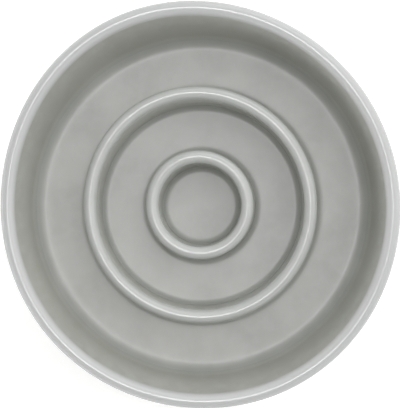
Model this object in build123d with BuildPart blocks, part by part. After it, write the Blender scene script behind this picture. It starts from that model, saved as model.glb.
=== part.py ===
from build123d import *
from math import cos, radians, sin, tan
import os

# A slow feeder bowl in glazed stoneware: a round bowl body, two raised feeding rings luted into
# seats in its floor, and a rubber grip ring pushed into a channel under its foot.
# Millimetres and degrees. Z is up, and the origin lies on the table under the middle of the bowl.

# Bowl body
lip_diameter = 200.0  # across the outside of the lip
overall_height = 56.0  # from the table to the top of the lip
wall_thickness = 7.0  # the lip is a full round of this width
wall_draft = 8.0  # lean of the wall from the vertical
floor_thickness = 7.0
floor_corner_radius = 7.0  # inside corner between wall and floor
heel_radius = 6.0  # outside corner between wall and foot
foot_width = 14.0  # flat ring that carries the bowl, from the heel's round inwards
foot_depth = 4.0  # hollow under the floor, inside the foot
foot_edge_radius = 1.0  # inner edge of the foot
hollow_corner_radius = 1.5  # corner between the hollow's roof and the foot

# Feeding rings
outer_ring_diameter = 112.0  # at the middle of the ring's wall
outer_ring_thickness = 6.5  # the crest is a full round of this width
outer_ring_height = 32.0  # above the floor
inner_ring_diameter = 48.2
inner_ring_thickness = 6.2
inner_ring_height = 32.0
ring_draft = 2.0  # each side of a ring leans in towards its crest
ring_root_radius = 3.0  # where a ring's side runs out into the floor
ring_flange = 4.0  # reach of a ring's base beyond its sides
ring_seat_depth = 1.5  # how deep the base is let into the floor

# Grip ring
grip_width = 8.0
grip_height = 4.5
grip_stand_off = 1.5  # how far it stands below the foot
grip_clearance = 0.2  # to each side of its channel
grip_edge_radius = 1.0
tread_count = 2  # round grooves in its underside
tread_width = 1.0
tread_depth = 0.8

# Heights that follow
foot_bottom = grip_stand_off
hollow_roof = foot_bottom + foot_depth
floor_top = hollow_roof + floor_thickness

# The wall follows a leaning middle line that ends at the centre of the lip's round.
lip_radius = wall_thickness / 2
lip_centre = (lip_diameter / 2 - lip_radius, overall_height - lip_radius)
lip_top = (lip_centre[0], overall_height)
wall_slope = tan(radians(wall_draft))
lip_reach = lip_radius * cos(radians(wall_draft))
lip_drop = lip_radius * sin(radians(wall_draft))
wall_outside_top = (lip_centre[0] + lip_reach, lip_centre[1] - lip_drop)
wall_inside_top = (lip_centre[0] - lip_reach, lip_centre[1] + lip_drop)
wall_inside_root = (wall_inside_top[0] - (wall_inside_top[1] - floor_top) * wall_slope, floor_top)
heel_corner = (wall_outside_top[0] - (wall_outside_top[1] - foot_bottom) * wall_slope, foot_bottom)

# The foot's flat starts where the heel's round ends, and the grip ring runs along its middle.
heel_round_reach = heel_radius / tan(radians(90 + wall_draft) / 2)
foot_outer_radius = heel_corner[0] - heel_round_reach
foot_inner_radius = foot_outer_radius - foot_width
grip_radius = foot_outer_radius - foot_width / 2


def ring_base(thickness, height):
    """Half the width of a ring at the floor, and half the width of its flange."""
    crest_to_floor = height - thickness / 2
    half_wall = thickness / 2 / cos(radians(ring_draft)) + crest_to_floor * tan(radians(ring_draft))
    return half_wall, half_wall + ring_flange


def seat_width(thickness, height):
    """Width of the seat that a ring's flange fills."""
    return 2 * ring_base(thickness, height)[1]


# Bowl body: floor, leaning wall with a round lip, hollow foot
with BuildPart() as bowl_body:
    with BuildSketch(Plane.XZ) as bowl_section:
        with BuildLine():
            Polyline(
                wall_inside_top,
                wall_inside_root,
                (0, floor_top),
                (0, hollow_roof),
                (foot_inner_radius, hollow_roof),
                (foot_inner_radius, foot_bottom),
                heel_corner,
                wall_outside_top,
            )
            ThreePointArc(wall_outside_top, lip_top, wall_inside_top)
        make_face()
        for corner, radius in (
            (wall_inside_root, floor_corner_radius),
            (heel_corner, heel_radius),
            ((foot_inner_radius, foot_bottom), foot_edge_radius),
            ((foot_inner_radius, hollow_roof), hollow_corner_radius),
        ):
            fillet(bowl_section.vertices().sort_by_distance(corner)[0], radius)
    revolve(axis=Axis.Z)
    # Seats for the feeding rings in the floor, and the grip ring's channel in the foot
    with BuildSketch(Plane.XZ):
        for diameter, thickness, height in (
            (outer_ring_diameter, outer_ring_thickness, outer_ring_height),
            (inner_ring_diameter, inner_ring_thickness, inner_ring_height),
        ):
            with Locations((diameter / 2, floor_top)):
                Rectangle(seat_width(thickness, height), ring_seat_depth, align=(Align.CENTER, Align.MAX))
        with Locations((grip_radius, foot_bottom)):
            Rectangle(
                grip_width + 2 * grip_clearance,
                grip_height - grip_stand_off,
                align=(Align.CENTER, Align.MIN),
            )
    revolve(axis=Axis.Z, mode=Mode.SUBTRACT)


def feeding_ring(diameter, thickness, height):
    """One feeding ring: a low wall with a round crest, on a flange that fills its seat in the floor."""
    middle = diameter / 2
    crest_radius = thickness / 2
    crest_centre = floor_top + height - crest_radius
    side_reach = crest_radius * cos(radians(ring_draft))
    side_top = crest_centre + crest_radius * sin(radians(ring_draft))
    half_wall, half_flange = ring_base(thickness, height)
    seat_bottom = floor_top - ring_seat_depth
    with BuildPart() as ring:
        with BuildSketch(Plane.XZ) as ring_section:
            with BuildLine():
                Polyline(
                    (middle + side_reach, side_top),
                    (middle + half_wall, floor_top),
                    (middle + half_flange, floor_top),
                    (middle + half_flange, seat_bottom),
                    (middle - half_flange, seat_bottom),
                    (middle - half_flange, floor_top),
                    (middle - half_wall, floor_top),
                    (middle - side_reach, side_top),
                )
                ThreePointArc(
                    (middle - side_reach, side_top),
                    (middle, floor_top + height),
                    (middle + side_reach, side_top),
                )
            make_face()
            for side in (middle - half_wall, middle + half_wall):
                fillet(ring_section.vertices().sort_by_distance((side, floor_top))[0], ring_root_radius)
        revolve(axis=Axis.Z)
    return ring.part


outer_feeding_ring = feeding_ring(outer_ring_diameter, outer_ring_thickness, outer_ring_height)
inner_feeding_ring = feeding_ring(inner_ring_diameter, inner_ring_thickness, inner_ring_height)

# Grip ring: a flat rubber ring with round treads in its underside
with BuildPart() as grip_ring:
    with BuildSketch(Plane.XZ) as grip_section:
        with Locations((grip_radius, 0)):
            Rectangle(grip_width, grip_height, align=(Align.CENTER, Align.MIN))
        fillet(grip_section.vertices().group_by(Axis.Y)[0], grip_edge_radius)
        with Locations((grip_radius, 0)):
            with GridLocations(grip_width / (tread_count + 1), 0, tread_count, 1):
                Rectangle(tread_width, tread_depth, align=(Align.CENTER, Align.MIN), mode=Mode.SUBTRACT)
    revolve(axis=Axis.Z)

os.makedirs("parts", exist_ok=True)
for name, piece in (
    ("bowl_body", bowl_body.part),
    ("outer_feeding_ring", outer_feeding_ring),
    ("inner_feeding_ring", inner_feeding_ring),
    ("grip_ring", grip_ring.part),
):
    piece.label = name
    export_step(piece, f"parts/{name}.step")
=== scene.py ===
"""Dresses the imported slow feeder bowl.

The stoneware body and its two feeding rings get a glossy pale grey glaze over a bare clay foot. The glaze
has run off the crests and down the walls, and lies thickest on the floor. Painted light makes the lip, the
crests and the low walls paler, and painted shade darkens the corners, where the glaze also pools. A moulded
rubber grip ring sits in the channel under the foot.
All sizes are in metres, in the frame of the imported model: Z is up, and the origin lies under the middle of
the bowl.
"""

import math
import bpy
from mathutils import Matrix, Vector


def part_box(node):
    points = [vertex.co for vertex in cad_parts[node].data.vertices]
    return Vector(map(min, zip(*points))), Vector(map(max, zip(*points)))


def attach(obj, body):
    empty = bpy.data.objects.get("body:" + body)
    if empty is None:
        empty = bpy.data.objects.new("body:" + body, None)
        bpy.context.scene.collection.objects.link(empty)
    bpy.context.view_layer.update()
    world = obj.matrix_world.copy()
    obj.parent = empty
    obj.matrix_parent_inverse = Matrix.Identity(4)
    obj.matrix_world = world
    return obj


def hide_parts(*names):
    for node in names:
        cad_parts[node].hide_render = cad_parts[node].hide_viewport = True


bl_info = {
    "name": "Slow Feeder Bowl",
    "version": (1, 0, 0),
    "blender": (4, 5, 0),
    "location": "3D View > Sidebar > Feeder Bowl",
    "description": "Builds a glazed stoneware slow feeder bowl on its rubber grip ring",
    "category": "Add Mesh",
}

import bmesh
import bpy
from bpy.props import FloatProperty, FloatVectorProperty, IntProperty, PointerProperty
from mathutils import Matrix, Vector

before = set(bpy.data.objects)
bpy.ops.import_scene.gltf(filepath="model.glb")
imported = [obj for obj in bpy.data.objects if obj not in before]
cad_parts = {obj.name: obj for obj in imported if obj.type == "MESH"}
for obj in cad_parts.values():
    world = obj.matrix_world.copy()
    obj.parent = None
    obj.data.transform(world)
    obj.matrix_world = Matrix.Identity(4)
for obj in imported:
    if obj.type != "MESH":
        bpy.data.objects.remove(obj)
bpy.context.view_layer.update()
BOWL_LOW, BOWL_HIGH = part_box("bowl_body")
OUTER_LOW, OUTER_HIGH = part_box("outer_feeding_ring")
INNER_LOW, INNER_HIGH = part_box("inner_feeding_ring")
GRIP_LOW, GRIP_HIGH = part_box("grip_ring")
MM = 0.001
PHOTO_LONG_SIDE = 408  # pixels
SHARP_ANGLE = math.radians(40)
WELD = 0.001 * MM


def length(name, description, default):
    return FloatProperty(name=name, description=description, default=default, precision=5, unit="LENGTH")


def angle(name, description, degrees):
    return FloatProperty(name=name, description=description, default=math.radians(degrees), subtype="ANGLE")


def share(name, description, default):
    return FloatProperty(name=name, description=description, default=default, min=0, max=1, subtype="FACTOR")


def colour(name, description, default):
    return FloatVectorProperty(
        name=name, description=description, default=default, min=0, max=1, subtype="COLOR"
    )


def glow(name, description, default):
    return FloatProperty(name=name, description=description, default=default, min=0)


class FeederBowlSizes(bpy.types.PropertyGroup):
    """Sizes of the stoneware body and its feeding rings."""

    lip_radius: length("Lip radius", "From the axis to the outside of the lip", BOWL_HIGH.x)
    lip_top: length("Lip top", "Height of the lip over the table", BOWL_HIGH.z)
    foot_bottom: length("Foot bottom", "Height of the foot over the table", BOWL_LOW.z)
    floor_top: length("Floor top", "Height of the floor over the table", 12.5 * MM)
    wall: length("Wall", "Thickness of the wall, and width of the round lip", 7 * MM)
    wall_lean: angle("Wall lean", "Lean of the wall from the vertical", 8)
    floor_corner: length("Floor corner", "Radius between the floor and the wall", 7 * MM)
    heel: length("Heel", "Radius between the wall and the foot", 6 * MM)
    foot_width: length("Foot width", "Flat ring that carries the bowl", 14 * MM)
    foot_edge: length("Foot edge", "Radius of the foot's inner edge", 1 * MM)
    hollow_roof: length("Hollow roof", "Height of the hollow under the floor", 5.5 * MM)
    hollow_corner: length("Hollow corner", "Radius between the hollow's roof and the foot", 1.5 * MM)
    channel_width: length("Channel width", "Channel for the grip ring", 8.4 * MM)
    outer_thickness: length("Outer ring thickness", "Width of the outer ring's crest", 6.5 * MM)
    inner_thickness: length("Inner ring thickness", "Width of the inner ring's crest", 6.2 * MM)
    ring_lean: angle("Ring lean", "Lean of a ring's sides", 2)
    ring_root: length("Ring root", "Radius where a ring's side runs out into the floor", 3 * MM)
    ring_flange: length("Ring flange", "Reach of a ring's base beyond its sides", 4 * MM)
    soft_edge: length("Soft edge", "Rounding of edges that the clay leaves sharp", 0.4 * MM)


class KilnWarp(bpy.types.PropertyGroup):
    """How far the kiln pulled the bowl out of round, as a share of the radius at the lip."""

    oval: share("Oval", "Stretch along one direction", 0.015)
    oval_axis: angle("Oval axis", "Direction of the stretch", -66)
    three_sided: share("Three-sided", "Pull towards three sides", 0.004)
    three_sided_axis: angle("Three-sided axis", "Direction of the first side", -12)
    four_sided: share("Four-sided", "Pull towards four sides", 0.003)
    four_sided_axis: angle("Four-sided axis", "Direction of the first side", 30)


class GlazeFinish(bpy.types.PropertyGroup):
    """Colours and texture of the glaze, and of the clay under it."""

    # Glaze: its slight warm tint is partly the glaze's own tone and partly painted warm bounce light
    body: colour("Glaze", "Where the glaze lies evenly", (0.477, 0.482, 0.437))
    # Settled glaze: paler and warm low inside, painted light that lifts the shade low on the wall, where
    # run-down glaze also lies thick
    settled_and_lit: colour("Settled glaze", "Low inside, where run-down glaze lies thick", (0.575, 0.578, 0.52))
    floor: colour("Floor glaze", "On the floor, where the glaze lies thickest", (0.54, 0.545, 0.525))
    # Pooled glaze: darker in the corners, pooled glaze and painted shade at the feet of the wall and the
    # rings
    pooled_and_shaded: colour("Pooled glaze", "In corners, where the glaze gathers", (0.46, 0.475, 0.455))
    # Thin glaze: paler on the rings' crests, thin glaze and a painted highlight there; also the tone of the
    # random mottle
    thin: colour("Thin glaze", "On the feeding rings' crests, where it runs thin", (0.585, 0.6, 0.585))
    # Lip glaze: painted light, the top of the rim painted paler than the walls, where the glaze also runs
    # thin
    lip: colour("Lip glaze", "On the lip, where the glaze runs thinnest", (0.60, 0.61, 0.605))
    clay: colour("Bare clay", "Under the foot", (0.55, 0.49, 0.40))
    toast: colour("Toasted clay", "Along the edge of the glaze", (0.33, 0.23, 0.15))
    gloss: share("Roughness", "Roughness of the glaze", 0.07)
    floor_gloss: share("Floor roughness", "Roughness of the thick glaze on the floor", 0.36)
    glaze_line: length("Glaze line", "Height over the foot where the glaze ends", 2.2 * MM)
    glaze_waver: length("Glaze waver", "How far the glaze line wanders up and down", 1.6 * MM)
    lip_drop: length("Lip drop", "How far the lip's glaze reaches under its round", 1.3 * MM)
    lip_waver: length("Lip waver", "How far the edge of the lip's glaze wanders up", 1.2 * MM)
    settle_and_light_top: length("Settle top", "Height over the floor where the settled glaze begins", 36 * MM)
    settle_and_light_full: length("Settle full", "Height over the floor where the glaze has settled fully", 8 * MM)
    floor_fade: length("Floor fade", "Height over which the floor's glaze runs out", 5 * MM)
    # Reach of the pooled glaze and painted shade at the feet of the wall and of the rings
    wall_pool_and_shade: length("Wall pool", "Reach of the glaze gathered at the foot of the wall", 7 * MM)
    ring_pool: length("Ring pool", "Reach of the glaze gathered at the foot of a feeding ring", 5 * MM)
    drift_size: length("Drift size", "Size of the broad clouds in the glaze", 26 * MM)
    mottle_size: length("Mottle size", "Size of the small clouds in the glaze", 6 * MM)
    ripple_size: length("Ripple size", "Size of the slow ripples in the glaze", 11 * MM)
    ripple_depth: length("Ripple depth", "Depth of the slow ripples in the glaze", 0.035 * MM)
    peel_size: length("Peel size", "Size of the orange peel in the glaze", 2.2 * MM)
    peel_depth: length("Peel depth", "Depth of the orange peel in the glaze", 0.004 * MM)
    grain_size: length("Grain size", "Size of the grain in the bare clay", 0.6 * MM)
    grain_depth: length("Grain depth", "Depth of the grain in the bare clay", 0.12 * MM)


class GripRingFinish(bpy.types.PropertyGroup):
    """Sizes and finish of the rubber ring."""

    width: length("Width", "Across the ring's section", 8 * MM)
    edge: length("Edge", "Radius of the lower edges", 1 * MM)
    tread_width: length("Tread width", "Width of a round groove in the underside", 1 * MM)
    tread_depth: length("Tread depth", "Depth of a round groove in the underside", 0.8 * MM)
    treads: IntProperty(name="Treads", description="Round grooves in the underside", default=2, min=1)
    bars: IntProperty(name="Bars", description="Cross bars in each groove", default=96, min=3)
    bar_width: length("Bar width", "Width of a cross bar, along its groove", 1.2 * MM)
    bar_fill: share("Bar fill", "Share of a groove's depth that a cross bar fills", 0.6)
    rubber: colour("Rubber", "Colour of the rubber", (0.052, 0.055, 0.056))
    dust: colour("Dust", "Colour of the dull bloom on the rubber", (0.13, 0.13, 0.125))
    bloom_size: length("Bloom size", "Size of the clouds in the dull bloom", 9 * MM)
    grain_size: length("Grain size", "Size of the rubber's grain", 0.5 * MM)
    grain_depth: length("Grain depth", "Depth of the rubber's grain", 0.03 * MM)


class StageSettings(bpy.types.PropertyGroup):
    """Camera, lights and floor."""

    camera_height: length("Camera height", "From the lip to the camera", 0.7)
    camera_right: length("Camera right", "How far the camera stands right of what it looks at", 0.025)
    camera_front: length("Camera front", "How far the camera stands in front of what it looks at", 0.009)
    aim_right: length("Aim right", "How far right of the axis the camera looks", 0.68 * MM)
    aim_back: length("Aim back", "How far behind the axis the camera looks", 0.26 * MM)
    pixels_per_metre: FloatProperty(
        name="Pixels per metre", description="Scale of the picture at the lip", default=2032.4
    )
    floor_radius: length("Floor radius", "Size of the floor", 6.0)
    floor_opening: length("Floor opening", "Radius left open under the bowl, to light its underside", 0.08)
    fade_from: length("Fade from", "Radius from which the floor fades to white", 0.3)
    fade_to: length("Fade to", "Radius from which the floor is white", 1.2)
    floor_shade: colour("Floor", "Colour of the floor", (0.9, 0.9, 0.9))
    floor_lift: glow("Floor lift", "Brightening of the floor where it is seen, also in the gloss", 0.5)
    sky_glow: glow("Sky glow", "Light from overhead", 0.25)
    horizon_glow: glow("Horizon glow", "Light from all round", 1.55)
    ground_glow: glow("Ground glow", "Light from below, on the underside", 0.95)


CLASSES_OF_SETTINGS = {
    "feeder_sizes": FeederBowlSizes,
    "feeder_warp": KilnWarp,
    "feeder_glaze": GlazeFinish,
    "feeder_grip": GripRingFinish,
    "feeder_stage": StageSettings,
}


# Node trees


def add(tree, kind, settings=None, **inputs):
    """Adds a node, sets its settings and inputs, and returns it.

    An input goes by its name, with _ for a space, or by its place, as in0, in1 and so on.
    """
    node = tree.nodes.new(kind)
    for key, value in (settings or {}).items():
        setattr(node, key, value)
    for key, value in inputs.items():
        if key.startswith("in") and key[2:].isdigit():
            socket = node.inputs[int(key[2:])]
        else:
            socket = node.inputs[key.replace("_", " ")]
        if isinstance(value, bpy.types.NodeSocket):
            tree.links.new(value, socket)
        else:
            socket.default_value = value
    return node


def calc(tree, operation, *values):
    """A Math node's result."""
    inputs = {f"in{k}": value for k, value in enumerate(values)}
    return add(tree, "ShaderNodeMath", {"operation": operation}, **inputs).outputs[0]


def span(tree, value, at_0, at_1):
    """at_0 where the value is 0, at_1 where it is 1, and in proportion between them."""
    return calc(tree, "MULTIPLY_ADD", value, at_1 - at_0, at_0)


def ease(tree, value, low, high):
    """0 below low, 1 above high, and smooth between them. Low above high turns it round."""
    smooth = {"interpolation_type": "SMOOTHSTEP"}
    node = add(tree, "ShaderNodeMapRange", smooth, Value=value, From_Min=low, From_Max=high)
    return node.outputs["Result"]


def apart(tree, first, second):
    """How far apart two places are."""
    node = add(tree, "ShaderNodeVectorMath", {"operation": "DISTANCE"}, in0=first, in1=second)
    return node.outputs["Value"]


def round_axis(tree, reach, turn, height):
    """The place at a distance from the axis, an angle round it and a height."""
    return add(
        tree,
        "ShaderNodeCombineXYZ",
        X=calc(tree, "MULTIPLY", reach, calc(tree, "COSINE", turn)),
        Y=calc(tree, "MULTIPLY", reach, calc(tree, "SINE", turn)),
        Z=height,
    ).outputs[0]


def batch_of(tree, index, size):
    """Which batch of this size an index falls in. The half keeps a whole number clear of its edge."""
    return calc(tree, "FLOOR", calc(tree, "DIVIDE", calc(tree, "ADD", index, 0.5), size))


def start_tree(name, inputs):
    """A geometry tree with inputs of these names and kinds, and one mesh for its output."""
    tree = bpy.data.node_groups.new(name, "GeometryNodeTree")
    for label, kind in inputs.items():
        tree.interface.new_socket(label, in_out="INPUT", socket_type="NodeSocket" + kind)
    tree.interface.new_socket("Mesh", in_out="OUTPUT", socket_type="NodeSocketGeometry")
    return tree, tree.nodes.new("NodeGroupInput").outputs


def end_tree(tree, geometry, material):
    """Makes instances real, sets the material and gives out the mesh."""
    whole = add(tree, "GeometryNodeRealizeInstances", Geometry=geometry).outputs[0]
    dressed = add(tree, "GeometryNodeSetMaterial", Geometry=whole, Material=material).outputs[0]
    add(tree, "NodeGroupOutput", in0=dressed)


def lathe_tree():
    """Rounds the corners of a half section, turns it about Z, and lets the kiln pull it out of round."""
    tree, given = start_tree(
        "Lathe Section",
        {
            "Section": "Geometry",
            "Points per Round": "Int",
            "Longest Step": "Float",
            "Segments": "Int",
            "Warp From": "Float",
            "Warp To": "Float",
            "Oval": "Float",
            "Oval Axis": "Float",
            "Three-sided": "Float",
            "Three-sided Axis": "Float",
            "Four-sided": "Float",
            "Four-sided Axis": "Float",
            "Sharp Angle": "Float",
            "Material": "Material",
        },
    )
    vectors = {"data_type": "FLOAT_VECTOR"}

    # The section: rounded corners, and long runs divided
    radius = add(tree, "GeometryNodeInputNamedAttribute", {"data_type": "FLOAT"}, Name="corner_radius")
    chain = add(tree, "GeometryNodeMeshToCurve", Mesh=given["Section"])
    rounded = add(
        tree,
        "GeometryNodeFilletCurve",
        {"mode": "POLY"},
        Curve=chain.outputs[0],
        Count=given["Points per Round"],
        Radius=radius.outputs["Attribute"],
        Limit_Radius=True,
    )
    place = add(tree, "GeometryNodeInputPosition").outputs[0]
    following = add(tree, "GeometryNodeOffsetPointInCurve", Offset=1).outputs["Point Index"]
    next_place = add(tree, "GeometryNodeFieldAtIndex", vectors, Value=place, Index=following).outputs[0]
    run = apart(tree, place, next_place)
    cuts = calc(tree, "FLOOR", calc(tree, "DIVIDE", run, given["Longest Step"]))
    section = add(tree, "GeometryNodeSubdivideCurve", Curve=rounded.outputs[0], Cuts=cuts).outputs[0]
    points = add(tree, "GeometryNodeAttributeDomainSize", {"component": "CURVE"}, Geometry=section)
    rows = points.outputs["Point Count"]

    # A grid whose rows follow the section and whose columns go round the axis
    columns = calc(tree, "ADD", given["Segments"], 1)
    grid = add(tree, "GeometryNodeMeshGrid", Vertices_X=columns, Vertices_Y=rows).outputs["Mesh"]
    index = add(tree, "GeometryNodeInputIndex").outputs[0]
    column = batch_of(tree, index, rows)
    row = calc(tree, "SUBTRACT", index, calc(tree, "MULTIPLY", column, rows))
    spot = add(tree, "GeometryNodeSampleIndex", vectors, Geometry=section, Value=place, Index=row).outputs[0]
    at = add(tree, "ShaderNodeSeparateXYZ", Vector=spot).outputs
    turn = calc(tree, "MULTIPLY", calc(tree, "DIVIDE", column, given["Segments"]), math.tau)

    # The kiln's pull grows from the floor to the lip
    pull = 0.0
    for sides, name in ((2, "Oval"), (3, "Three-sided"), (4, "Four-sided")):
        phase = calc(tree, "MULTIPLY", calc(tree, "SUBTRACT", turn, given[name + " Axis"]), sides)
        pull = calc(tree, "MULTIPLY_ADD", calc(tree, "COSINE", phase), given[name], pull)
    rise = add(
        tree, "ShaderNodeMapRange", Value=at["Z"], From_Min=given["Warp From"], From_Max=given["Warp To"]
    ).outputs["Result"]
    reach = calc(tree, "MULTIPLY", at["X"], calc(tree, "MULTIPLY_ADD", pull, rise, 1.0))
    turned = round_axis(tree, reach, turn, at["Z"])
    shell = add(tree, "GeometryNodeSetPosition", Geometry=grid, Position=turned).outputs[0]
    shell = add(tree, "GeometryNodeMergeByDistance", Geometry=shell, Distance=WELD).outputs[0]

    # Round faces are smooth, and only real edges stay sharp
    bend = add(tree, "GeometryNodeInputMeshEdgeAngle").outputs["Unsigned Angle"]
    sharp = calc(tree, "GREATER_THAN", bend, given["Sharp Angle"])
    shell = add(tree, "GeometryNodeSetShadeSmooth", Geometry=shell, Shade_Smooth=True).outputs[0]
    shell = add(
        tree,
        "GeometryNodeSetShadeSmooth",
        {"domain": "EDGE"},
        Geometry=shell,
        Selection=sharp,
        Shade_Smooth=False,
    ).outputs[0]
    end_tree(tree, shell, given["Material"])
    return tree


def tread_bar_tree():
    """Joins cross bars in the round grooves to a grip ring, staggered from groove to groove."""
    tree, given = start_tree(
        "Tread Bars",
        {
            "Ring": "Geometry",
            "Inner Groove": "Float",
            "Groove Pitch": "Float",
            "Grooves": "Int",
            "Bars": "Int",
            "Bar Size": "Vector",
            "Bar Height": "Float",
            "Material": "Material",
        },
    )
    total = calc(tree, "MULTIPLY", given["Grooves"], given["Bars"])
    spots = add(tree, "GeometryNodePoints", Count=total).outputs[0]
    index = add(tree, "GeometryNodeInputIndex").outputs[0]
    groove = batch_of(tree, index, given["Bars"])
    staggered = calc(tree, "MULTIPLY_ADD", groove, 0.5, index)
    turn = calc(tree, "MULTIPLY", calc(tree, "DIVIDE", staggered, given["Bars"]), math.tau)
    reach = calc(tree, "MULTIPLY_ADD", groove, given["Groove Pitch"], given["Inner Groove"])
    place = round_axis(tree, reach, turn, given["Bar Height"])
    spots = add(tree, "GeometryNodeSetPosition", Geometry=spots, Position=place).outputs[0]
    bar = add(tree, "GeometryNodeMeshCube", Size=given["Bar Size"]).outputs["Mesh"]
    facing = add(tree, "ShaderNodeCombineXYZ", Z=turn).outputs[0]
    bars = add(tree, "GeometryNodeInstanceOnPoints", Points=spots, Instance=bar, Rotation=facing).outputs[0]
    both = tree.nodes.new("GeometryNodeJoinGeometry")
    tree.links.new(given["Ring"], both.inputs[0])
    tree.links.new(bars, both.inputs[0])
    end_tree(tree, both.outputs[0], given["Material"])
    return tree


def run_tree(piece, tree, values):
    """Runs a tree on a piece, with its inputs by name, and keeps the result as the piece's plain mesh."""
    modifier = piece.modifiers.new(tree.name, "NODES")
    modifier.node_group = tree
    for item in tree.interface.items_tree:
        if item.in_out == "INPUT" and item.name in values:
            modifier[item.identifier] = values[item.name]
    piece.update_tag()
    depsgraph = bpy.context.evaluated_depsgraph_get()
    made = bpy.data.meshes.new_from_object(piece.evaluated_get(depsgraph))
    piece.modifiers.clear()
    old = piece.data
    piece.data = made
    bpy.data.meshes.remove(old)
    made.name = piece.name


# Sections


def section_piece(name, corners):
    """A piece that starts as a chain of corners: each a radius from the axis, a height and a rounding."""
    mesh = bpy.data.meshes.new(name)
    mesh.from_pydata([(r, 0, z) for r, z, _ in corners], [(k, k + 1) for k in range(len(corners) - 1)], [])
    rounding = mesh.attributes.new("corner_radius", "FLOAT", "POINT")
    rounding.data.foreach_set("value", [corner for _, _, corner in corners])
    piece = bpy.data.objects.new(name, mesh)
    bpy.context.scene.collection.objects.link(piece)
    return piece


def lathe(name, corners, material, longest_step=3 * MM, points_per_round=10, segments=256):
    """Turns a section into a closed, smooth piece."""
    sizes = bpy.context.scene.feeder_sizes
    warp = bpy.context.scene.feeder_warp
    piece = section_piece(name, corners)
    run_tree(
        piece,
        bpy.data.node_groups.get("Lathe Section") or lathe_tree(),
        {
            "Points per Round": points_per_round,
            "Longest Step": longest_step,
            "Segments": segments,
            "Warp From": sizes.floor_top,
            "Warp To": sizes.lip_top,
            "Oval": warp.oval,
            "Oval Axis": warp.oval_axis,
            "Three-sided": warp.three_sided,
            "Three-sided Axis": warp.three_sided_axis,
            "Four-sided": warp.four_sided,
            "Four-sided Axis": warp.four_sided_axis,
            "Sharp Angle": SHARP_ANGLE,
            "Material": material,
        },
    )
    face_outwards(piece)
    return piece


def face_outwards(piece):
    work = bmesh.new()
    work.from_mesh(piece.data)
    bmesh.ops.recalc_face_normals(work, faces=work.faces)
    work.to_mesh(piece.data)
    work.free()


def wall_frame(sizes):
    """Centre of the lip's round, and the wall's upward and outward directions, as radius and height."""
    half = sizes.wall / 2
    centre = Vector((sizes.lip_radius - half, sizes.lip_top - half))
    upward = Vector((math.sin(sizes.wall_lean), math.cos(sizes.wall_lean)))
    outward = Vector((math.cos(sizes.wall_lean), -math.sin(sizes.wall_lean)))
    return centre, upward, outward


def down_wall(sizes, side, height):
    """Radius of the wall's inner (side -1) or outer (side 1) face at a height."""
    centre, upward, outward = wall_frame(sizes)
    face = centre + outward * side * sizes.wall / 2
    return face.x - (face.y - height) * upward.x / upward.y


def foot_radii(sizes):
    """Outer and inner radius of the foot's flat."""
    heel_reach = sizes.heel / math.tan((math.pi / 2 + sizes.wall_lean) / 2)
    outer = down_wall(sizes, 1, sizes.foot_bottom) - heel_reach
    return outer, outer - sizes.foot_width


def ring_widths(sizes, thickness, crest):
    """Half widths of a feeding ring at the floor and of its flange."""
    half = thickness / 2
    drop = crest - half - sizes.floor_top
    wall = half / math.cos(sizes.ring_lean) + drop * math.tan(sizes.ring_lean)
    return wall, wall + sizes.ring_flange


def ring_spots(sizes):
    """Node, middle radius, thickness, crest height and seat height of each feeding ring."""
    spots = []
    for node, low, high, thickness in (
        ("inner_feeding_ring", INNER_LOW, INNER_HIGH, sizes.inner_thickness),
        ("outer_feeding_ring", OUTER_LOW, OUTER_HIGH, sizes.outer_thickness),
    ):
        flange = ring_widths(sizes, thickness, high.z)[1]
        spots.append((node, high.x - flange, thickness, high.z, low.z))
    return spots


def bowl_corners(sizes):
    """The body's half section, from the middle of the floor over the lip to the middle of the hollow."""
    centre, upward, outward = wall_frame(sizes)
    half = sizes.wall / 2
    lip_inside = centre + (upward - outward) * half
    lip_outside = centre + (upward + outward) * half
    foot_outer, foot_inner = foot_radii(sizes)
    channel = (foot_outer + foot_inner) / 2
    channel_half = sizes.channel_width / 2
    corners = [(0, sizes.floor_top, 0)]
    for _, middle, thickness, crest, seat in ring_spots(sizes):
        flange = ring_widths(sizes, thickness, crest)[1]
        corners += [
            (middle - flange, sizes.floor_top, 0),
            (middle - flange, seat, 0),
            (middle + flange, seat, 0),
            (middle + flange, sizes.floor_top, 0),
        ]
    return corners + [
        (down_wall(sizes, -1, sizes.floor_top), sizes.floor_top, sizes.floor_corner),
        (lip_inside.x, lip_inside.y, half),
        (lip_outside.x, lip_outside.y, half),
        (down_wall(sizes, 1, sizes.foot_bottom), sizes.foot_bottom, sizes.heel),
        (channel + channel_half, sizes.foot_bottom, sizes.soft_edge),
        (channel + channel_half, GRIP_HIGH.z, sizes.soft_edge),
        (channel - channel_half, GRIP_HIGH.z, sizes.soft_edge),
        (channel - channel_half, sizes.foot_bottom, sizes.soft_edge),
        (foot_inner, sizes.foot_bottom, sizes.foot_edge),
        (foot_inner, sizes.hollow_roof, sizes.hollow_corner),
        (0, sizes.hollow_roof, 0),
    ]


def ring_corners(sizes, middle, thickness, crest, seat):
    """A feeding ring's section, closed under its flange."""
    wall, flange = ring_widths(sizes, thickness, crest)
    half = thickness / 2
    top_half = half / math.cos(sizes.ring_lean) - half * math.tan(sizes.ring_lean)
    right = [
        (middle, seat, 0),
        (middle + flange, seat, 0),
        (middle + flange, sizes.floor_top, 0),
        (middle + wall, sizes.floor_top, sizes.ring_root),
        (middle + top_half, crest, half),
    ]
    left = [(2 * middle - r, z, corner) for r, z, corner in reversed(right)]
    return right + left


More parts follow.
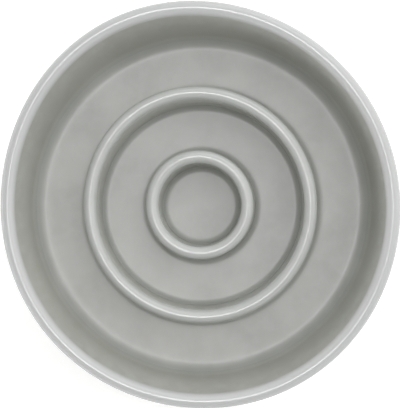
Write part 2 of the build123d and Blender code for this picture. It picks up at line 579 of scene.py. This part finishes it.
def grip_corners(grip):
    """The grip ring's section, closed in the middle of its flat top."""
    outer = GRIP_HIGH.x
    inner = outer - grip.width
    middle = (outer + inner) / 2
    soft = grip.tread_width / 4
    corners = [
        (middle, GRIP_HIGH.z, 0),
        (outer, GRIP_HIGH.z, soft),
        (outer, GRIP_LOW.z, grip.edge),
    ]
    for groove in reversed(groove_radii(grip)):
        for side, z in ((1, GRIP_LOW.z), (1, grip.tread_depth), (-1, grip.tread_depth), (-1, GRIP_LOW.z)):
            corners.append((groove + side * grip.tread_width / 2, z, soft))
    return corners + [
        (inner, GRIP_LOW.z, grip.edge),
        (inner, GRIP_HIGH.z, soft),
        (middle, GRIP_HIGH.z, 0),
    ]


def groove_radii(grip):
    pitch = grip.width / (grip.treads + 1)
    first = GRIP_HIGH.x - grip.width
    return [first + pitch * (k + 1) for k in range(grip.treads)]


# Materials


def new_material(name):
    material = bpy.data.materials.new(name)
    material.use_nodes = True
    material.node_tree.nodes.clear()
    return material, material.node_tree


def axis_coordinates(tree):
    """Object coordinates, the distance from the bowl's axis and the height."""
    spot = add(tree, "ShaderNodeTexCoord").outputs["Object"]
    at = add(tree, "ShaderNodeSeparateXYZ", Vector=spot).outputs
    flat = add(tree, "ShaderNodeCombineXYZ", X=at["X"], Y=at["Y"]).outputs[0]
    reach = add(tree, "ShaderNodeVectorMath", {"operation": "LENGTH"}, in0=flat).outputs["Value"]
    return spot, reach, at["Z"]


def clouds(tree, spot, size, detail=2.0, stretch=1.0):
    """Noise from 0 to 1 with features of a size in metres, drawn out along Z by stretch."""
    scale = (1, 1, 1 / stretch)
    stretched = add(tree, "ShaderNodeMapping", Vector=spot, Scale=scale).outputs[0]
    return add(tree, "ShaderNodeTexNoise", Vector=stretched, Scale=1 / size, Detail=detail).outputs[0]


def blend(tree, factor, first, second):
    """A colour from first at factor 0 to second at 1."""
    node = tree.nodes.new("ShaderNodeMix")
    node.data_type = "RGBA"
    sockets = [s for s in node.inputs if s.type == "RGBA"]
    for socket, value in ((node.inputs["Factor"], factor), (sockets[0], first), (sockets[1], second)):
        if isinstance(value, bpy.types.NodeSocket):
            tree.links.new(value, socket)
        elif socket.type == "RGBA":
            socket.default_value = (*value, 1)
        else:
            socket.default_value = value
    return next(s for s in node.outputs if s.type == "RGBA")


def near_circles(tree, reach, height, circles):
    """1 near any of these circles round the axis, fading to 0.

    Each circle has a radius, a height, and the distances within which it is 1 and beyond which it is 0.
    """
    here = add(tree, "ShaderNodeCombineXYZ", X=reach, Z=height).outputs[0]
    strongest = 0.0
    for radius, level, core, spread in circles:
        away = apart(tree, here, (radius, 0, level))
        strongest = calc(tree, "MAXIMUM", strongest, ease(tree, away, spread, core))
    return strongest


def finish_material(tree, shade, rough, relief):
    """Ends a material with its colour, its roughness and its relief in metres."""
    bump = add(tree, "ShaderNodeBump", Strength=1.0, Distance=1.0, Height=relief).outputs[0]
    surface = add(
        tree, "ShaderNodeBsdfPrincipled", Base_Color=shade, Roughness=rough, Normal=bump, IOR=1.5
    ).outputs[0]
    add(tree, "ShaderNodeOutputMaterial", Surface=surface)


def corners_and_crests(tree, sizes, glaze, reach, height):
    """Where the corners get pooled glaze and painted shade, and where the feeding rings' crests get thin
    glaze and a painted highlight.
    """
    corners = [(down_wall(sizes, -1, sizes.floor_top), sizes.floor_top, 0.0, glaze.wall_pool_and_shade)]
    crests = []
    for _, middle, thickness, crest, _ in ring_spots(sizes):
        wall = ring_widths(sizes, thickness, crest)[0]
        half = thickness / 2
        corners += [(middle + side * wall, sizes.floor_top, 0.0, glaze.ring_pool) for side in (-1, 1)]
        crests.append((middle, crest - half, half, 1.7 * half))
    return near_circles(tree, reach, height, corners), near_circles(tree, reach, height, crests)


def low_inside(tree, sizes, glaze, reach, height):
    """Where the inside is painted paler low down, as painted light against the shade there where run-down
    glaze also lies thick, and where the glaze lies on the floor.
    """
    above = calc(tree, "SUBTRACT", height, sizes.floor_top)
    edge = down_wall(sizes, -1, sizes.floor_top)
    without_lean = calc(tree, "MULTIPLY_ADD", above, -math.tan(sizes.wall_lean), reach)
    within_wall = ease(tree, without_lean, edge + sizes.wall / 2, edge + sizes.wall / 4)
    floor_thickness = sizes.floor_top - sizes.hollow_roof
    over_floor = ease(tree, above, -floor_thickness / 2, -floor_thickness / 4)
    inside = calc(tree, "MULTIPLY", within_wall, over_floor)
    settled_and_lit = ease(tree, above, glaze.settle_and_light_top, glaze.settle_and_light_full)
    on_floor = ease(tree, above, glaze.floor_fade, 0.1 * glaze.floor_fade)
    return calc(tree, "MULTIPLY", inside, settled_and_lit), calc(tree, "MULTIPLY", inside, on_floor)


def in_channel(tree, sizes, reach, height):
    """1 on the sides and the roof of the grip ring's channel, with the glaze wiped a little way round it."""
    foot_outer, foot_inner = foot_radii(sizes)
    off_middle = calc(tree, "ABSOLUTE", calc(tree, "SUBTRACT", reach, (foot_outer + foot_inner) / 2))
    half = sizes.channel_width / 2
    beside = ease(tree, off_middle, half + 0.8 * MM, half + 0.3 * MM)
    return calc(tree, "MULTIPLY", beside, ease(tree, height, GRIP_HIGH.z + 3.5 * MM, GRIP_HIGH.z + 2.5 * MM))


def glaze_material(sizes, glaze):
    """Pale grey glaze that has run off the crests and down the walls, with painted light on the lip, the
    crests and low inside and painted shade in the corners, and bare clay at the foot.
    """
    material, tree = new_material("pale_grey_glaze")
    spot, reach, height = axis_coordinates(tree)
    drift = clouds(tree, spot, glaze.drift_size, stretch=5)
    mottle = clouds(tree, spot, glaze.mottle_size, detail=4, stretch=2)
    pooled_and_shaded, thin_lit_crests = corners_and_crests(tree, sizes, glaze, reach, height)
    settled_and_lit, on_floor = low_inside(tree, sizes, glaze, reach, height)

    # The glaze: paler low inside, painted light against the shade there, and on the floor where it lies
    # thick; darker in broad clouds; then darker in the corners with pooled glaze and painted shade, and
    # paler on the crests with thin glaze and a painted highlight
    even = blend(tree, settled_and_lit, glaze.body, glaze.settled_and_lit)
    even = blend(tree, on_floor, even, glaze.floor)
    loss = calc(tree, "MULTIPLY", ease(tree, drift, 0.3, 0.75), span(tree, on_floor, 0.07, 0.15))
    kept = calc(tree, "SUBTRACT", 1.0, loss)
    shade = add(tree, "ShaderNodeVectorMath", {"operation": "SCALE"}, in0=even, Scale=kept).outputs[0]
    shade = blend(tree, calc(tree, "MULTIPLY", ease(tree, mottle, 0.35, 0.7), 0.3), shade, glaze.thin)
    # Darker in the corners: pooled glaze and painted shade
    shade = blend(tree, calc(tree, "MULTIPLY", pooled_and_shaded, span(tree, drift, 0.3, 1.2)), shade, glaze.pooled_and_shaded)
    # Paler on the rings' crests: thin glaze and a painted highlight
    shade = blend(tree, calc(tree, "MULTIPLY", thin_lit_crests, span(tree, mottle, 0.7, 1.1)), shade, glaze.thin)
    # The lip is painted paler than the walls: painted light on the top of the rim, where the glaze also runs
    # thin
    lip_edge = sizes.lip_top - sizes.wall / 2 - glaze.lip_drop
    lip_line = span(tree, drift, lip_edge, lip_edge + glaze.lip_waver)
    lit_lip = ease(tree, calc(tree, "SUBTRACT", height, lip_line), -0.6 * MM, 0.6 * MM)
    shade = blend(tree, lit_lip, shade, glaze.lip)

    # The foot and its channel stay bare, with a toasted edge along a wavering glaze line
    lowest = sizes.foot_bottom + glaze.glaze_line - glaze.glaze_waver / 2
    line = span(tree, clouds(tree, spot, 18 * MM), lowest, lowest + glaze.glaze_waver)
    over = calc(tree, "SUBTRACT", height, line)
    channel = in_channel(tree, sizes, reach, height)
    bare = calc(tree, "MAXIMUM", ease(tree, over, 0.1 * MM, -0.1 * MM), channel)
    toasted = ease(tree, calc(tree, "ABSOLUTE", over), 0.9 * MM, 0.1 * MM)
    grain = clouds(tree, spot, glaze.grain_size, detail=3)
    dark_clay = tuple(0.72 * c for c in glaze.clay)
    clay = blend(tree, ease(tree, grain, 0.35, 0.75), glaze.clay, dark_clay)
    clay = blend(tree, toasted, clay, glaze.toast)
    shade = blend(tree, calc(tree, "MULTIPLY", toasted, 0.35), shade, glaze.toast)
    shade = blend(tree, bare, shade, clay)

    # Gloss: slow ripples and a fine orange peel in the glaze, a rough grain in the clay
    gloss = span(tree, on_floor, glaze.gloss, glaze.floor_gloss)
    gloss = calc(tree, "ADD", gloss, span(tree, mottle, -0.03, 0.03))
    rough = calc(tree, "MULTIPLY_ADD", bare, 0.75, gloss)
    ripple = calc(tree, "MULTIPLY", clouds(tree, spot, glaze.ripple_size), glaze.ripple_depth)
    peel = clouds(tree, spot, glaze.peel_size, detail=1)
    relief = calc(tree, "MULTIPLY_ADD", peel, glaze.peel_depth, ripple)
    relief = calc(tree, "MULTIPLY_ADD", calc(tree, "MULTIPLY", grain, bare), glaze.grain_depth, relief)
    finish_material(tree, shade, rough, relief)
    return material


def rubber_material(grip):
    """Dark rubber with a fine grain and a dull bloom."""
    material, tree = new_material("grip_rubber")
    spot, _, _ = axis_coordinates(tree)
    bloom = clouds(tree, spot, grip.bloom_size, detail=5)
    grain = clouds(tree, spot, grip.grain_size)
    dusty = calc(tree, "MULTIPLY", ease(tree, bloom, 0.4, 0.75), 0.5)
    shade = blend(tree, dusty, grip.rubber, grip.dust)
    relief = calc(tree, "MULTIPLY", grain, grip.grain_depth)
    finish_material(tree, shade, span(tree, bloom, 0.5, 0.75), relief)
    return material


def glaze_of_the_bowl(scene):
    made = bpy.data.materials.get("pale_grey_glaze")
    return made or glaze_material(scene.feeder_sizes, scene.feeder_glaze)


# Operators


class FEEDER_OT_bowl_body(bpy.types.Operator):
    """Makes the stoneware body: floor, leaning wall, round lip and hollow foot."""

    bl_idname = "feeder.bowl_body"
    bl_label = "Bowl Body"

    def execute(self, context):
        scene = context.scene
        body = lathe("glazed_bowl_body", bowl_corners(scene.feeder_sizes), glaze_of_the_bowl(scene))
        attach(body, "bowl")
        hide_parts("bowl_body")
        return {"FINISHED"}


class FEEDER_OT_feeding_rings(bpy.types.Operator):
    """Makes the two feeding rings that stand in the floor."""

    bl_idname = "feeder.feeding_rings"
    bl_label = "Feeding Rings"

    def execute(self, context):
        scene = context.scene
        for node, *spot in ring_spots(scene.feeder_sizes):
            ring = lathe("glazed_" + node, ring_corners(scene.feeder_sizes, *spot), glaze_of_the_bowl(scene))
            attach(ring, "bowl")
            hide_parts(node)
        return {"FINISHED"}


class FEEDER_OT_grip_ring(bpy.types.Operator):
    """Makes the rubber grip ring with its tread."""

    bl_idname = "feeder.grip_ring"
    bl_label = "Grip Ring"

    def execute(self, context):
        grip = context.scene.feeder_grip
        rubber = rubber_material(grip)
        ring = lathe("rubber_grip_ring", grip_corners(grip), rubber, points_per_round=4)
        grooves = groove_radii(grip)
        run_tree(
            ring,
            tread_bar_tree(),
            {
                "Inner Groove": grooves[0],
                "Groove Pitch": grip.width / (grip.treads + 1),
                "Grooves": grip.treads,
                "Bars": grip.bars,
                "Bar Size": (grip.tread_width, grip.bar_width, grip.bar_fill * grip.tread_depth),
                "Bar Height": (1 - grip.bar_fill / 2) * grip.tread_depth,
                "Material": rubber,
            },
        )
        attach(ring, "grip")
        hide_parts("grip_ring")
        return {"FINISHED"}


class FEEDER_OT_stage(bpy.types.Operator):
    """Sets the floor, the lights and the camera."""

    bl_idname = "feeder.stage"
    bl_label = "Stage"

    def execute(self, context):
        scene = context.scene
        scene.view_settings.view_transform = "Standard"
        make_floor(scene.feeder_stage)
        make_lights(scene)
        make_surroundings(scene)
        make_camera(scene)
        return {"FINISHED"}


class FEEDER_PT_panel(bpy.types.Panel):
    """Lists the pieces and their settings."""

    bl_idname = "FEEDER_PT_panel"
    bl_label = "Slow Feeder Bowl"
    bl_space_type = "VIEW_3D"
    bl_region_type = "UI"
    bl_category = "Feeder Bowl"

    def draw(self, context):
        for operator in OPERATORS:
            self.layout.operator(operator.bl_idname)
        for name, settings in CLASSES_OF_SETTINGS.items():
            box = self.layout.box()
            for key in settings.__annotations__:
                box.prop(getattr(context.scene, name), key)


OPERATORS = (FEEDER_OT_bowl_body, FEEDER_OT_feeding_rings, FEEDER_OT_grip_ring, FEEDER_OT_stage)


# Stage


def seen_rays(tree):
    """1 for what the camera sees, also in a gloss or through glass."""
    path = add(tree, "ShaderNodeLightPath").outputs
    glossy = calc(tree, "MAXIMUM", path["Is Glossy Ray"], path["Is Transmission Ray"])
    return calc(tree, "MAXIMUM", path["Is Camera Ray"], glossy)


def make_floor(stage):
    """A round pale floor that keeps the bowl's shadow and is open under the bowl."""
    mesh = bpy.data.meshes.new("floor")
    work = bmesh.new()
    rims = []
    for radius in (stage.floor_opening, stage.floor_radius):
        rim = bmesh.ops.create_circle(work, segments=96, radius=radius)["verts"]
        rims += [edge for vert in rim for edge in vert.link_edges]
    bmesh.ops.bridge_loops(work, edges=list(set(rims)))
    bmesh.ops.recalc_face_normals(work, faces=work.faces)
    work.faces.ensure_lookup_table()
    if work.faces[0].normal.z < 0:
        bmesh.ops.reverse_faces(work, faces=work.faces)
    work.to_mesh(mesh)
    work.free()
    floor = bpy.data.objects.new("floor", mesh)
    bpy.context.scene.collection.objects.link(floor)
    mesh.materials.append(floor_material(stage))


def floor_material(stage):
    """Matt and pale, fading to white away from the bowl for what the camera sees, and clear from below."""
    material, tree = new_material("pale_floor")
    reach = axis_coordinates(tree)[1]
    far = ease(tree, reach, stage.fade_from, stage.fade_to)
    seen = seen_rays(tree)
    matt = add(tree, "ShaderNodeBsdfDiffuse", Color=(*stage.floor_shade, 1)).outputs[0]
    lifted = calc(tree, "MULTIPLY", seen, stage.floor_lift)
    lift = add(tree, "ShaderNodeEmission", Strength=lifted).outputs[0]
    near = add(tree, "ShaderNodeAddShader", in0=matt, in1=lift).outputs[0]
    white = add(tree, "ShaderNodeEmission", Strength=1.0).outputs[0]
    whitened = calc(tree, "MULTIPLY", far, seen)
    lit = add(tree, "ShaderNodeMixShader", in0=whitened, in1=near, in2=white).outputs[0]
    below = add(tree, "ShaderNodeNewGeometry").outputs["Backfacing"]
    clear = add(tree, "ShaderNodeBsdfTransparent").outputs[0]
    surface = add(tree, "ShaderNodeMixShader", in0=below, in1=lit, in2=clear).outputs[0]
    add(tree, "ShaderNodeOutputMaterial", Surface=surface)
    return material


def add_softbox(scene, name, direction, elevation, distance, size, power, only_gloss=False):
    """An area lamp that faces the bowl, at a direction round the axis and an elevation in degrees.

    With only_gloss it shows in reflections and lights nothing.
    """
    aim = Vector((0, 0, BOWL_HIGH.z))
    turn, rise = math.radians(direction), math.radians(elevation)
    away = Vector((math.cos(rise) * math.cos(turn), math.cos(rise) * math.sin(turn), math.sin(rise)))
    light = bpy.data.lights.new(name, "AREA")
    light.shape = "RECTANGLE"
    light.size, light.size_y = size
    light.energy = power
    lamp = bpy.data.objects.new(name, light)
    lamp.location = aim + away * distance
    lamp.rotation_euler = away.to_track_quat("Z", "Y").to_euler()
    lamp.visible_diffuse = not only_gloss
    scene.collection.objects.link(lamp)


def make_lights(scene):
    """A broad key, boxes overhead for the thin lines on the crests, a low fill and two strips."""
    for name, direction, elevation, distance, size, power, only_gloss in (
        ("key_softbox", 45, 50, 1.6, (3.0, 1.8), 19.5, False),
        ("crest_softbox", 165, 87.8, 1.25, (0.45, 0.16), 2, False),
        ("crest_glint", 165, 87.8, 1.25, (0.4, 0.24), 3, True),
        ("left_softbox", 212, 3.5, 1.25, (2.6, 0.1), 4.5, False),
        ("back_strip", 65, 30, 1.25, (0.8, 0.3), 0.8, True),
        ("front_strip", -50, 28, 1.25, (0.5, 0.3), 0.5, True),
    ):
        add_softbox(scene, name, direction, elevation, distance, size, power, only_gloss)


def make_surroundings(scene):
    """A pale studio all round, dimmer overhead and below. Where the camera sees it, it is white."""
    stage = scene.feeder_stage
    world = bpy.data.worlds.new("studio")
    scene.world = world
    world.use_nodes = True
    tree = world.node_tree
    tree.nodes.clear()
    direction = add(tree, "ShaderNodeTexCoord").outputs["Generated"]
    rise = add(tree, "ShaderNodeSeparateXYZ", Vector=direction).outputs["Z"]
    light = span(tree, ease(tree, rise, 0.5, 0.1), stage.sky_glow, stage.horizon_glow)
    dimmed = span(tree, ease(tree, rise, -0.1, -0.3), 0.0, stage.ground_glow - stage.horizon_glow)
    light = calc(tree, "ADD", light, dimmed)
    ambient = add(tree, "ShaderNodeBackground", Color=(1, 1, 1, 1), Strength=light).outputs[0]
    backdrop = add(tree, "ShaderNodeBackground", Color=(1, 1, 1, 1), Strength=1.0).outputs[0]
    sky = add(tree, "ShaderNodeMixShader", in0=seen_rays(tree), in1=ambient, in2=backdrop).outputs[0]
    add(tree, "ShaderNodeOutputWorld", Surface=sky)


def make_camera(scene):
    """Looks down on the bowl from a little right of its axis, with the picture's top towards +Y."""
    stage = scene.feeder_stage
    lens = bpy.data.cameras.new("camera")
    camera = bpy.data.objects.new("camera", lens)
    scene.collection.objects.link(camera)
    aim = Vector((stage.aim_right, stage.aim_back, BOWL_HIGH.z))
    camera.location = aim + Vector((stage.camera_right, -stage.camera_front, stage.camera_height))
    back = (camera.location - aim).normalized()
    right = Vector((0, 1, 0)).cross(back).normalized()
    camera.rotation_euler = Matrix((right, back.cross(right), back)).transposed().to_euler()
    away = (aim - camera.location).length
    lens.sensor_width = 36
    lens.lens = stage.pixels_per_metre * away * lens.sensor_width / PHOTO_LONG_SIDE
    scene.camera = camera


def register():
    for settings in CLASSES_OF_SETTINGS.values():
        bpy.utils.register_class(settings)
    for operator in OPERATORS:
        bpy.utils.register_class(operator)
    bpy.utils.register_class(FEEDER_PT_panel)
    for name, settings in CLASSES_OF_SETTINGS.items():
        setattr(bpy.types.Scene, name, PointerProperty(type=settings))


def unregister():
    for name in CLASSES_OF_SETTINGS:
        delattr(bpy.types.Scene, name)
    bpy.utils.unregister_class(FEEDER_PT_panel)
    for operator in reversed(OPERATORS):
        bpy.utils.unregister_class(operator)
    for settings in reversed(CLASSES_OF_SETTINGS.values()):
        bpy.utils.unregister_class(settings)


def main():
    register()
    bpy.ops.feeder.bowl_body()
    bpy.ops.feeder.feeding_rings()
    bpy.ops.feeder.grip_ring()
    bpy.ops.feeder.stage()


if __name__ == "__main__":
    main()
